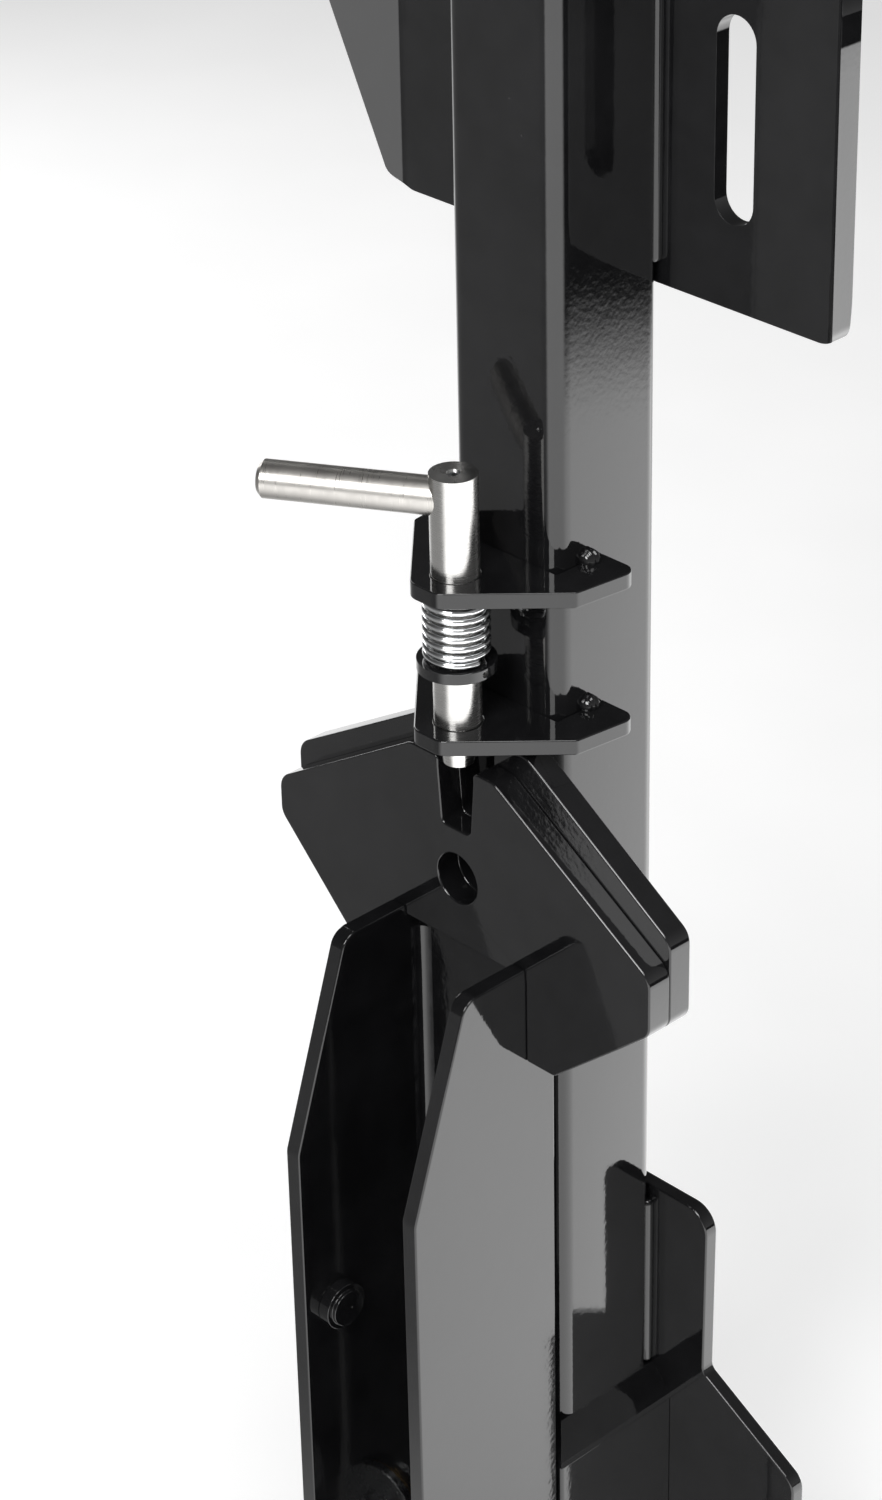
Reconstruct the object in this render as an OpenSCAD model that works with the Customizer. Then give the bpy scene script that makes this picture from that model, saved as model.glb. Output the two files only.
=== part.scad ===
// Slotted mounting post with a swinging lock head.
// A square post carries two slotted and bent wing plates behind it. A spring loaded
// pull pin in two yoke brackets drops into the notch of a two plate lock head, and
// the head swings on a pivot at the foot of the post.
// Origin: centre of the slot pattern on the back face of the upper wing plate.
// +X to the right of the post's front, -Y out of the front, +Z up. Millimetres.

/* [View] */
// Which piece to draw, or all of them

/* [Post] */
// Outer width of the square post
post_w = 60; // [50:1:80]
// Wall of the post
post_wall = 4; // [2:0.5:6]
// Outer corner radius of the post
post_r = 8.5; // [4:0.5:12]
// Top of the post above the slot centres
post_top = 86; // [80:1:160]

/* [Upper wing plate] */
// Thickness of the bent plates
wing_t = 7; // [5:0.5:10]
// Height of the upper wing plate
wing_h = 154; // [140:1:200]
// Distance from the middle to each crease
crease_x = 118; // [100:1:130]
// Angle the flanges are bent forward
flange_angle = 50; // [30:5:60]
// Distance from the middle to each slot's centre line
slot_x = 66.5; // [55:0.5:75]
// Width of the slots
slot_w = 20; // [16:1:24]
// Overall length of the slots
slot_l = 84; // [60:1:110]

/* [Pin brackets] */
// Thickness of the yoke brackets
bracket_t = 7; // [6:0.5:10]
// Top of the upper bracket below the slot centres
upper_bracket_drop = 183; // [160:1:200]
// Spacing of the two brackets
bracket_pitch = 67; // [60:1:80]

/* [Lock pin] */
// Diameter of the pull pin
pin_d = 20; // [16:0.5:22]
// Running clearance on the radius in the brackets
pin_gap = 0.05; // [0.02:0.01:0.1]
// Distance of the pin's axis in front of the post's middle
pin_reach = 57; // [55:0.5:65]
// Travel of the pin from lifted to locked
pin_travel = 24.5; // [20:0.5:26]
// Reach of the pull handle from the pin's axis
handle_l = 80; // [60:1:90]
// Diameter of the handle bar
handle_d = 16; // [12:0.5:20]

/* [Spring] */
// Outer diameter of the spring
spring_od = 28; // [26:0.5:30]
// Wire diameter
spring_wire = 3; // [2:0.25:4]
// Number of turns
spring_turns = 7; // [5:0.5:9]

/* [Lock head] */
// Thickness of each lock plate
lock_t = 12; // [10:0.5:14]
// Half width of the lock plates
lock_half = 110; // [95:1:120]
// Diameter of the hole below the notch
lock_hole_d = 23; // [18:1:26]
// Thickness of the cheeks and web
cheek_t = 8; // [6:0.5:10]
// Outside width over the cheeks
clevis_w = 80; // [66:1:84]
// How far the cheeks stand out from the post's middle
cheek_reach = 125.5; // [110:1:140]
// Diameter of the pivot the head swings on
pivot_d = 30; // [24:1:36]

/* [Base sleeve] */
// Outer width of the sleeve
sleeve_w = 82; // [76:1:90]
// Wall of the sleeve
sleeve_wall = 5; // [3:0.5:6]

/* [Hidden] */

$fn = 64;
eps = 0.01;
black = [0.09, 0.09, 0.10];
steel = [0.74, 0.74, 0.72];
zinc = [0.82, 0.83, 0.85];
plastic = [0.13, 0.13, 0.14];

// planes across the part, front is -Y
post_y = -(wing_t + post_w / 2);          // middle of the post
post_front = post_y - post_w / 2;
// heights, all below the slot centres
wing_bottom = -wing_h / 2;
b1_top = -upper_bracket_drop;
b2_top = b1_top - bracket_pitch;
lock_top = -270;                          // top flat of the front lock plate
lock_floor = -301;                        // floor of the notch
lock_hole_z = -325;
lock_end = [-320.5, -325.5];              // upper corners of its left and right end
lock_under = [-338, -352];                // lower corners of the same ends
lock_foot = -397.5;                       // lowest edge, beside the cheeks
clevis_top = -352;                        // top edge of the cheeks
web_top = -356.5;
cheek_knee = -449;                        // where the slanted front edge ends
stud_z = -536;
plate_top = -514;                         // top of the lower wing plate
plate_neck = -602;
collar_top = -613;
sleeve_top = -628;
pivot_z = -705;
cheek_foot = -752;
base_z = -760;

// planes of the lock head, measured from the post's middle
lock_front = post_y - 59.5;
lock_mid = lock_front + lock_t;
lock_back = lock_mid + lock_t;
sleeve_front = post_y - sleeve_w / 2;
head_back = sleeve_front - 2;             // back edge of cheeks and web
web_front = head_back - cheek_t;
cheek_front = post_y - cheek_reach;
cheek_out = clevis_w / 2;
cheek_in = cheek_out - cheek_t;

pin_y = post_y - pin_reach;
pin_tip = lock_top + 1.2;                  // tip of the lifted pin
collar_t = 4.5;
collar_z = b2_top + pin_travel + 0.5;     // underside of the lifted collar
spring_lo = collar_z + collar_t;
spring_hi = b1_top - bracket_t;
handle_z = -149.5;
handle_turn = 211;                        // direction of the handle, from +X

// ---------------------------------------------------------------- helpers

// unit vector from a to b
function unit(a, b) = (b - a) / norm(b - a);
// half angle at corner q of the path p-q-s
function half_angle(p, q, s) = acos(max(-1, min(1, unit(q, p) * unit(q, s)))) / 2;
function set_back(p, q, s, r) = r / tan(half_angle(p, q, s));
function turn(p, q, s) = (q[0] - p[0]) * (s[1] - q[1]) - (q[1] - p[1]) * (s[0] - q[0]);
function mid_dir(p, q, s) = let (m = unit(q, p) + unit(q, s)) m / norm(m);

// Flat outline with rounded corners. Each corner is [x, y, r], counter-clockwise.
module rounded_outline(c) {
    n = len(c);
    pt = [for (v = c) [v[0], v[1]]];
    cut = [for (i = [0:n - 1]) let (p = pt[(i + n - 1) % n], q = pt[i], s = pt[(i + 1) % n],
           d = c[i][2] > 0 ? set_back(p, q, s, c[i][2]) : 0)
           each c[i][2] > 0 ? [q + unit(q, p) * d, q + unit(q, s) * d] : [q]];
    difference() {
        union() {
            polygon(cut);
            for (i = [0:n - 1]) corner_disc(pt, c, i, 1);
        }
        for (i = [0:n - 1]) corner_disc(pt, c, i, -1);
    }
}

// The disc that rounds corner i, if the corner turns the way of side
module corner_disc(pt, c, i, side) {
    n = len(c);
    p = pt[(i + n - 1) % n];
    q = pt[i];
    s = pt[(i + 1) % n];
    if (c[i][2] > 0 && turn(p, q, s) * side > 0)
        translate(q + mid_dir(p, q, s) * c[i][2] / sin(half_angle(p, q, s)))
            circle(r = c[i][2]);
}

// A half outline and its mirror image, as one counter-clockwise list
function both_sides(half) = concat(half, [for (i = [len(half) - 1:-1:0])
    [-half[i][0], half[i][1], half[i][2]]]);

// Draws an upright outline, drawn in X and Z, from y0 back to y1
module slab_xz(y0, y1) {
    translate([0, y1, 0]) rotate([90, 0, 0]) linear_extrude(height = y1 - y0) children();
}

// Draws an outline, drawn in Y and Z, from x0 to x1
module slab_yz(x0, x1) {
    translate([x0, 0, 0]) rotate([90, 0, 90]) linear_extrude(height = x1 - x0) children();
}

module square_outline(w, r) {
    h = w / 2;
    rounded_outline([[h, -h, r], [h, h, r], [-h, h, r], [-h, -h, r]]);
}

// Square tube on the post's axis, from z0 up to z1
module square_tube(w, r, wall, z0, z1) {
    translate([0, post_y, z0]) linear_extrude(height = z1 - z0) difference() {
        square_outline(w, r);
        square_outline(w - 2 * wall, max(r - wall, 1));
    }
}

// Cylinder along Y from y0 back to y1, at x and z
module rod_y(x, z, d, y0, y1) {
    translate([x, y1, z]) rotate([90, 0, 0]) cylinder(d = d, h = y1 - y0);
}

// Cylinder along X from x0 to x1, at y and z
module rod_x(y, z, d, x0, x1) {
    translate([x0, y, z]) rotate([0, 90, 0]) cylinder(d = d, h = x1 - x0);
}

// Weld bead along Z, along X or along Y, with round ends
module bead_z(x, y, z0, z1, r) {
    translate([x, y, z0]) cylinder(r = r, h = z1 - z0, $fn = 24);
    for (z = [z0, z1]) translate([x, y, z]) sphere(r = r, $fn = 24);
}

module bead_x(x0, x1, y, z, r) {
    translate([x0, y, z]) rotate([0, 90, 0]) cylinder(r = r, h = x1 - x0, $fn = 24);
    for (x = [x0, x1]) translate([x, y, z]) sphere(r = r, $fn = 24);
}

module bead_y(x, y0, y1, z, r) {
    translate([x, y1, z]) rotate([90, 0, 0]) cylinder(r = r, h = y1 - y0, $fn = 24);
    for (y = [y0, y1]) translate([x, y, z]) sphere(r = r, $fn = 24);
}

// ---------------------------------------------------------------- post

// The solid the post fills, for cutting back what is welded to it
module post_core() translate([0, post_y, base_z]) linear_extrude(height = wing_h - base_z)
    square_outline(post_w, post_r);

module post_tube() color(black)
    square_tube(post_w, post_r, post_wall, base_z + 12, post_top);

// Push in plug that closes the top of the post
module post_cap() color(plastic) {
    inner = post_w - 2 * post_wall;
    inner_r = post_r - post_wall;
    translate([0, post_y, post_top]) linear_extrude(height = 4)
        square_outline(post_w, post_r);
    translate([0, post_y, post_top - 18]) linear_extrude(height = 18 + eps) difference() {
        square_outline(inner - 0.6, inner_r);
        square_outline(inner - 6, 2);
    }
    for (z = [post_top - 14, post_top - 7]) translate([0, post_y, z])
        linear_extrude(height = 1.6) difference() {
            square_outline(inner, inner_r);
            square_outline(inner - 5, 2);
        }
}

// ---------------------------------------------------------------- wing plates

// Bent plate from z0 up to z1: flat between the creases, flanges turned forward
module bent_plate(z0, z1, reach) {
    bend = 6;                             // inside radius of the bend
    n = 10;                               // facets over the bend
    flat_x = crease_x - bend * tan(flange_angle / 2);
    centre = [flat_x, -wing_t - bend];
    fan = [for (i = [0:n]) 90 - flange_angle * i / n];
    along = reach * [cos(flange_angle), -sin(flange_angle)];
    inner = [for (a = fan) centre + bend * [cos(a), sin(a)]];
    outer = [for (i = [n:-1:0]) centre + (bend + wing_t) * [cos(fan[i]), sin(fan[i])]];
    half = concat(inner, [inner[n] + along, outer[0] + along], outer);
    other = [for (i = [len(half) - 1:-1:0]) [-half[i][0], half[i][1]]];
    translate([0, 0, z0]) linear_extrude(height = z1 - z0) polygon(concat(half, other));
}

// Upper wing plate, with two slots and tapering flanges
module upper_wing_plate() color(black) {
    edge = crease_x + 28;
    difference() {
        intersection() {
            bent_plate(wing_bottom, wing_h / 2, 48);
            slab_xz(-60, 5) rounded_outline(both_sides([
                [crease_x + 3, wing_bottom, 12], [edge, 58, 14], [edge, wing_h / 2, 10]]));
        }
        for (s = [-1, 1]) slab_xz(-wing_t - 1, 1) wing_slot(s * slot_x);
    }
}

module wing_slot(x) {
    straight = slot_l - slot_w;
    translate([x - slot_w / 2, -straight / 2]) square([slot_w, straight]);
    for (z = [-straight / 2, straight / 2]) translate([x, z]) circle(d = slot_w);
}

// Lower wing plate: a neck behind the post that flares out at its foot, flat all over
module lower_wing_plate() color(black) {
    neck = 62;
    flare = 117;
    slab_xz(-wing_t, 0) rounded_outline(both_sides([
        [flare, base_z, 12], [flare, plate_neck - 33, 10],
        [neck - 1, plate_neck, 5], [neck, plate_top, 12]]));
}

// Beads that join the wing plates to the post's back corners
module wing_welds() color(black) difference() {
    x = post_w / 2 - 2.8;
    y = -wing_t - 1.6;
    for (s = [-1, 1]) {
        bead_z(s * x, y, wing_bottom + 12, -wing_bottom - 20, 2.8);
        bead_z(s * x, y, base_z + 150, plate_top - 10, 2.8);
    }
    post_core();
    translate([-100, -wing_t, base_z]) cube([200, wing_t + 5, wing_h - base_z]);
}

// ---------------------------------------------------------------- pin brackets

// V nosed yoke that straddles the post's front corners
module yoke_plan() {
    h = post_w / 2;
    difference() {
        translate([0, post_y]) rounded_outline([[-7.5, -75, 8], [7.5, -75, 8], [46.5, -35.5, 4],
            [50.5, -4, 6], [-50.5, -4, 6], [-46.5, -35.5, 4]]);
        translate([-h, post_y - h]) square([post_w, post_w]);
        translate([0, pin_y]) circle(r = pin_d / 2 + pin_gap);
    }
}

module yoke(z_top) {
    translate([0, 0, z_top - bracket_t]) linear_extrude(height = bracket_t) yoke_plan();
}

module upper_pin_bracket() color(black) yoke(b1_top);

module lower_pin_bracket() color(black) yoke(b2_top);

// Fillet welds: under both brackets on the post's front, and on top beside the post
module bracket_welds() color(black) difference() {
    for (top = [b1_top, b2_top]) {
        bead_x(-19, 19, post_front - 0.6, top - bracket_t - 0.8, 2.8);
        for (s = [-1, 1]) bead_y(s * (post_w / 2 + 0.6), post_y - 17, post_y - 8, top + 1, 4.6);
    }
    post_core();
    for (top = [b1_top, b2_top]) translate([-60, post_front - 20, top - bracket_t])
        cube([120, post_w + 20, bracket_t]);
}

// ---------------------------------------------------------------- base sleeve

// Plan of the sleeve: wraps the front and sides of the post, square at the back
module sleeve_plan(w, r) {
    rounded_outline(both_sides([[w, -w, r], [w, post_w / 2, 0]]));
}

// Sleeve channel, with a hole in its front wall for the pivot boss
module base_sleeve() color(black) difference() {
    h = sleeve_w / 2;
    translate([0, post_y, base_z + 8]) linear_extrude(height = sleeve_top - base_z - 8)
        difference() {
            sleeve_plan(h, 2);
            translate([0, 1]) sleeve_plan(h - sleeve_wall, 1);
        }
    rod_y(0, pivot_z, pivot_d, sleeve_front - 1, sleeve_front + sleeve_wall + 1);
}

// Bevelled ring that closes the gap between post and sleeve
module sleeve_collar() color(black) {
    h = sleeve_w / 2;
    p = post_w / 2;
    lip = 3;
    ends = [[-h, sleeve_top], [h, sleeve_top], [h, sleeve_top + lip],
            [p, collar_top], [-p, collar_top], [-h, sleeve_top + lip]];
    side = [[-h, sleeve_top], [p, sleeve_top], [p, collar_top], [-p, collar_top],
            [-h, sleeve_top + lip]];
    difference() {
        intersection() {
            slab_xz(post_y - h, post_y + p) polygon(ends);
            translate([0, post_y, 0]) slab_yz(-h, h) polygon(side);
        }
        translate([0, post_y, sleeve_top - 1]) linear_extrude(height = 40)
            square_outline(post_w, post_r);
    }
}

module sleeve_end_plate() color(black)
    translate([0, post_y, base_z]) linear_extrude(height = 8) difference() {
        sleeve_plan(sleeve_w / 2, 2);
        circle(d = 28);
    }

// ---------------------------------------------------------------- pivot

bolt_d = 12;
boss_front = web_front - 2;

// Round boss welded through the sleeve's front wall, tapped for the pivot bolt
module pivot_boss() color(steel) difference() {
    rod_y(0, pivot_z, pivot_d, boss_front, sleeve_front + sleeve_wall);
    rod_y(0, pivot_z, bolt_d, boss_front - 1, sleeve_front + sleeve_wall + 1);
}

module pivot_thrust_washer() color(steel) difference() {
    rod_y(0, pivot_z, 50, head_back + 0.1, sleeve_front);
    rod_y(0, pivot_z, pivot_d, head_back - 1, sleeve_front + 1);
}

module pivot_retaining_washer() color(zinc) difference() {
    rod_y(0, pivot_z, 48, boss_front - 4, boss_front);
    rod_y(0, pivot_z, bolt_d + 1, boss_front - 5, boss_front + 1);
}

// Hex bolt that holds the retaining washer on the boss
module pivot_bolt() color(zinc) {
    rod_y(0, pivot_z, bolt_d, boss_front - 5, sleeve_front);
    difference() {
        translate([0, boss_front - 4, pivot_z]) rotate([90, 0, 0])
            cylinder(d = 20.8, h = 7.5, $fn = 6);
        rod_y(0, pivot_z, 8, boss_front - 12.5, boss_front - 11);
    }
}

// ---------------------------------------------------------------- lock head

// Outline of a lock plate. The flat is the left and right end of its top edge, up is
// how much higher than the front plate it stands. The two ends aren't quite alike.
function lock_outline(flat, up) = [
    [56, lock_foot, 4], [lock_half, lock_under[1], 8], [lock_half, lock_end[1] + 1.2 * up, 9],
    [flat[1], lock_top + up, 8], [-flat[0], lock_top + up, 8],
    [-lock_half, lock_end[0] + 1.2 * up, 9], [-lock_half, lock_under[0], 8],
    [-51.5, lock_foot, 4]];

module lock_blank(flat, up) {
    difference() {
        rounded_outline(lock_outline(flat, up));
        translate([-cheek_out, lock_foot - 1]) square([clevis_w, web_top - lock_foot + 1]);
        translate([0, lock_hole_z]) circle(d = lock_hole_d);
        notch(up);
    }
}

// Front plate, with the notch the pin drops into
module front_lock_plate() color(black) slab_xz(lock_front, lock_mid)
    lock_blank([27, 22], 0);

// Rear plate, ten millimetres taller, with the same notch
module rear_lock_plate() color(black) slab_xz(lock_mid, lock_back)
    lock_blank([28.5, 29], 10);

// Notch through both plates, open at the top of a plate that stands up higher
module notch(up) {
    hi = pin_d / 2 + 0.3;
    lo = 8.3;
    top = lock_top + up;
    rounded_outline([[-lo, lock_floor, 3], [lo, lock_floor, 3], [hi, lock_top - 5, 0],
        [hi, top + 1, 0], [-hi, top + 1, 0], [-hi, lock_top - 5, 0]]);
    for (s = [-1, 1]) scale([s, 1]) translate([hi, top - 2.5]) difference() {
        translate([-1, 0]) square([3.5, 3.5]);
        translate([2.5, 0]) circle(r = 2.5);
    }
}

// Cheek in side view: deep at the foot, slanted and rounded at the top
module cheek_side() {
    rounded_outline([[cheek_front, cheek_foot, 14], [head_back, cheek_foot, 6],
        [head_back, web_top, 0], [lock_front, web_top, 0], [lock_front, clevis_top, 0],
        [post_y - 94, clevis_top, 9], [cheek_front, cheek_knee, 10]]);
}

module left_cheek() color(black) slab_yz(-cheek_out, -cheek_in) cheek_side();

module right_cheek() color(black) slab_yz(cheek_in, cheek_out) cheek_side();

// Back web that joins the cheeks and carries the pivot bush
module cheek_web() color(black) slab_xz(web_front, head_back) difference() {
    translate([-cheek_in, cheek_foot + 6]) square([2 * cheek_in, web_top - cheek_foot - 6]);
    translate([0, pivot_z]) circle(d = pivot_d + 6);
}

// Flanged bush pressed into the web
module pivot_bush() color([0.72, 0.58, 0.30]) difference() {
    union() {
        rod_y(0, pivot_z, pivot_d + 6, web_front, head_back);
        rod_y(0, pivot_z, pivot_d + 16, web_front - 1.5, web_front);
    }
    rod_y(0, pivot_z, pivot_d + 0.1, web_front - 3, head_back + 1);
}

// Round studs on the inner faces of both cheeks
module rest_studs() color(black) {
    y = post_y - 107;
    for (s = [-1, 1]) scale([s, 1, 1]) {
        rod_x(y, stud_z, 22, cheek_in - 6, cheek_in);
        rod_x(y, stud_z, 17, cheek_in - 8, cheek_in - 6);
    }
}

// Smooth hollow fillets in the inner corners between the cheeks and the web
module head_welds() color(black) {
    r = 6;
    for (s = [-1, 1]) scale([s, 1, 1]) translate([cheek_in, web_front, cheek_foot + 20])
        linear_extrude(height = web_top - cheek_foot - 28) difference() {
            translate([-r, -r]) square([r, r]);
            translate([-r, -r]) circle(r = r);
        }
}

// ---------------------------------------------------------------- lock pin

tip_h = 18.8;

// Turned pull pin with a tapered tip
module lock_pin() color(steel) translate([0, pin_y, 0]) difference() {
    union() {
        translate([0, 0, pin_tip + tip_h])
            cylinder(d = pin_d, h = handle_z + handle_d / 2 + 3 - pin_tip - tip_h);
        translate([0, 0, pin_tip]) cylinder(d1 = 13, d2 = 16.5, h = tip_h + eps);
    }
    translate([0, 0, handle_z]) rotate([0, 0, handle_turn]) rotate([0, 90, 0])
        cylinder(d = 10, h = pin_d);
    translate([0, 0, handle_z + 4.5]) cylinder(d = 6, h = pin_d, $fn = 48);
    translate([0, 0, collar_z + collar_t / 2]) rotate([0, 90, 0])
        cylinder(d = 3, h = pin_d + 2, center = true, $fn = 32);
}

// Handle bar, spigoted into the top of the pin, with a chamfered end
module pull_handle() color(steel) translate([0, pin_y, handle_z]) rotate([0, 0, handle_turn]) {
    difference() {
        rotate([0, 90, 0]) cylinder(d = 10, h = pin_d / 2 + 2);
        translate([0, 0, 4.5]) cylinder(d = 6, h = 3, $fn = 48);
    }
    difference() {
        translate([5, 0, 0]) rotate([0, 90, 0]) cylinder(d = handle_d, h = handle_l - 7);
        cylinder(d = pin_d, h = 2 * pin_d, center = true);
    }
    translate([handle_l - 2, 0, 0]) rotate([0, 90, 0])
        cylinder(d1 = handle_d, d2 = handle_d - 4, h = 2);
}

// Socket grub screw in the pin's top that locks the handle's spigot
module handle_screw() color(zinc) translate([0, pin_y, handle_z + 4.5]) difference() {
    cylinder(d = 6, h = 5.7, $fn = 48);
    translate([0, 0, 2.5]) cylinder(d = 3.4, h = 4, $fn = 6);
}

module spring_collar() color(black) translate([0, pin_y, collar_z]) difference() {
    cylinder(d = 33, h = collar_t);
    translate([0, 0, -1]) cylinder(d = pin_d, h = collar_t + 2);
    translate([0, 0, collar_t / 2]) rotate([0, 90, 0])
        cylinder(d = 3, h = 40, center = true, $fn = 32);
}

module collar_roll_pin() color(steel) translate([0, pin_y, collar_z + collar_t / 2])
    rotate([0, 90, 0]) difference() {
        cylinder(d = 3, h = 31, center = true, $fn = 32);
        cylinder(d = 1.6, h = 33, center = true, $fn = 24);
    }

// ---------------------------------------------------------------- spring

// Height of the wire's centre after t turns: closed ends, even pitch between them
function coil_z(t, lo, hi) = let (dead = 0.75, close = spring_wire + 0.05,
    pitch = (hi - lo - 2 * dead * close) / (spring_turns - 2 * dead))
    t < dead ? lo + t * close
    : t > spring_turns - dead ? hi - (spring_turns - t) * close
    : lo + dead * close + (t - dead) * pitch;

// Helix of round wire between the collar and the upper bracket
module lock_spring() color(zinc) translate([0, pin_y, 0]) {
    steps = 18;
    sides = 8;
    last = spring_turns * steps;
    r = (spring_od - spring_wire) / 2;
    lo = spring_lo + spring_wire / 2 + 0.1;
    hi = spring_hi - spring_wire / 2 - 0.1;
    points = [for (i = [0:last]) for (k = [0:sides - 1])
        let (a = -360 * i / steps, b = 360 * k / sides, q = r + spring_wire / 2 * cos(b))
        [q * cos(a), q * sin(a), coil_z(i / steps, lo, hi) + spring_wire / 2 * sin(b)]];
    tube = [for (i = [0:last - 1]) for (k = [0:sides - 1])
        let (a = i * sides + k, b = i * sides + (k + 1) % sides)
        each [[a, b, a + sides], [b, b + sides, a + sides]]];
    polyhedron(points, concat(tube, [[for (k = [sides - 1:-1:0]) k]],
        [[for (k = [0:sides - 1]) last * sides + k]]));
}

// ---------------------------------------------------------------- draw

post_tube();
post_cap();
upper_wing_plate();
lower_wing_plate();
wing_welds();
upper_pin_bracket();
lower_pin_bracket();
bracket_welds();
base_sleeve();
sleeve_collar();
sleeve_end_plate();
pivot_boss();
pivot_thrust_washer();
pivot_retaining_washer();
pivot_bolt();
front_lock_plate();
rear_lock_plate();
left_cheek();
right_cheek();
cheek_web();
pivot_bush();
rest_studs();
head_welds();
lock_pin();
pull_handle();
handle_screw();
spring_collar();
collar_roll_pin();
lock_spring();
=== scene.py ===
"""Looks of a locking post bracket: finishes, wire spring, weld runs, studio and camera.

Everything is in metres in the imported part's own frame: +X to the right of the front,
-Y out of the front, +Z up, origin on the back face of the upper wing plate.
"""

import logging
import math
import random
from dataclasses import dataclass, field
from enum import Enum
from typing import Callable, Dict, List, Sequence, Tuple

import bpy
from mathutils import Matrix, Vector


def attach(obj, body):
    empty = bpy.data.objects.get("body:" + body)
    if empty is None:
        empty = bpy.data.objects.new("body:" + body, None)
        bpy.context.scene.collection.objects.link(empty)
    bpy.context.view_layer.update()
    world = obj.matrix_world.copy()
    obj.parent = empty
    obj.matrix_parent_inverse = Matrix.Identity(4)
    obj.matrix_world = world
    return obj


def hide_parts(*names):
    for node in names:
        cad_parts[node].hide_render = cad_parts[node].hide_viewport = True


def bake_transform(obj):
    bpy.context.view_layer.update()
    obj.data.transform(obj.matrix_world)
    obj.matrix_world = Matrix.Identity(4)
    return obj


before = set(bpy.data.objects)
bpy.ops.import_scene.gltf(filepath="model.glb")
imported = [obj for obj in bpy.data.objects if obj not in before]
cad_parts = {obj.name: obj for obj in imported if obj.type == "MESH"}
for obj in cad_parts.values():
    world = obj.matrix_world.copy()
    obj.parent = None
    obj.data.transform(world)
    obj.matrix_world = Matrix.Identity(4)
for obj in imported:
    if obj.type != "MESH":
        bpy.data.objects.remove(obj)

LOG = logging.getLogger("post_bracket")
Colour = Tuple[float, float, float]
Point = Tuple[float, float, float]


class Slot(Enum):
    """The record's material slot names for the pieces built here; no piece is given one."""

    POWDER = "black_powder_coat"
    SPRING = "spring_zinc"


class Body(Enum):
    """The bodies that pieces built here ride on."""

    POST = "post"
    PIN = "pull_pin"


class Grain(Enum):
    """Which way a turned or drawn surface's fine lines run round."""

    UPRIGHT = (0.0, 0.0, 0.0)
    ACROSS = (math.radians(90), 0.0, 0.0)
    HANDLE = (0.0, math.radians(90), math.radians(211))


# ------------------------------------------------------------------ node graphs


@dataclass
class Graph:
    """Places and wires the nodes of one node tree."""

    tree: bpy.types.NodeTree

    def add(self, kind: str, **settings: object) -> bpy.types.Node:
        """Adds a node.

        Args:
            kind: Blender's name for the node's type.
            settings: attributes to set on it.

        Returns:
            The new node.
        """
        node = self.tree.nodes.new(kind)
        for name, value in settings.items():
            setattr(node, name, value)
        return node

    def feed(self, socket: bpy.types.NodeSocket, value: object) -> None:
        """Links another socket into a socket, or sets it to a constant.

        Args:
            socket: the input to feed.
            value: an output socket, a number or a tuple.
        """
        if isinstance(value, bpy.types.NodeSocket):
            self.tree.links.new(value, socket)
        else:
            socket.default_value = value

    def math(self, operation: str, a: object, b: object = 0.0) -> bpy.types.NodeSocket:
        """Adds a Math node on a and b and returns its output."""
        node = self.add("ShaderNodeMath", operation=operation)
        self.feed(node.inputs[0], a)
        self.feed(node.inputs[1], b)
        return node.outputs[0]

    def spread(self, value: object, low: float, high: float, to_low: float = 0.0,
               to_high: float = 1.0, smooth: bool = False) -> bpy.types.NodeSocket:
        """Maps a value from one range to another, clamped.

        Args:
            value: the socket to map.
            low: where the result is to_low.
            high: where the result is to_high.
            to_low: result at low.
            to_high: result at high.
            smooth: eases in and out instead of running straight.

        Returns:
            The mapped output.
        """
        node = self.add("ShaderNodeMapRange")
        node.interpolation_type = "SMOOTHSTEP" if smooth else "LINEAR"
        for socket, given in zip(node.inputs, (value, low, high, to_low, to_high)):
            self.feed(socket, given)
        return node.outputs[0]

    def noise(self, vector: object, scale: object, detail: float = 2.0,
              roughness: float = 0.5) -> bpy.types.NodeSocket:
        """Adds a noise texture and returns its value."""
        node = self.add("ShaderNodeTexNoise")
        self.feed(node.inputs["Vector"], vector)
        self.feed(node.inputs["Scale"], scale)
        node.inputs["Detail"].default_value = detail
        node.inputs["Roughness"].default_value = roughness
        return node.outputs[0]

    def blend(self, share: object, a: object, b: object) -> bpy.types.NodeSocket:
        """Mixes two colours.

        Args:
            share: how much of b, from 0 to 1.
            a: first colour.
            b: second colour.

        Returns:
            The mixed colour.
        """
        node = self.add("ShaderNodeMix", data_type="RGBA")
        self.feed(node.inputs["Factor"], share)
        for socket, given in ((node.inputs[6], a), (node.inputs[7], b)):
            self.feed(socket, (*given, 1.0) if isinstance(given, tuple) and len(given) == 3 else given)
        return node.outputs[2]

    def use(self, group: bpy.types.NodeTree, **values: object) -> bpy.types.Node:
        """Places a shared effect.

        Args:
            group: the node group.
            values: its inputs by name, with _ for a blank.

        Returns:
            The group node.
        """
        node = self.add("ShaderNodeGroup", node_tree=group)
        for name, value in values.items():
            self.feed(node.inputs[name.replace("_", " ")], value)
        return node


EFFECTS: Dict[str, bpy.types.NodeTree] = {}


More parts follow.
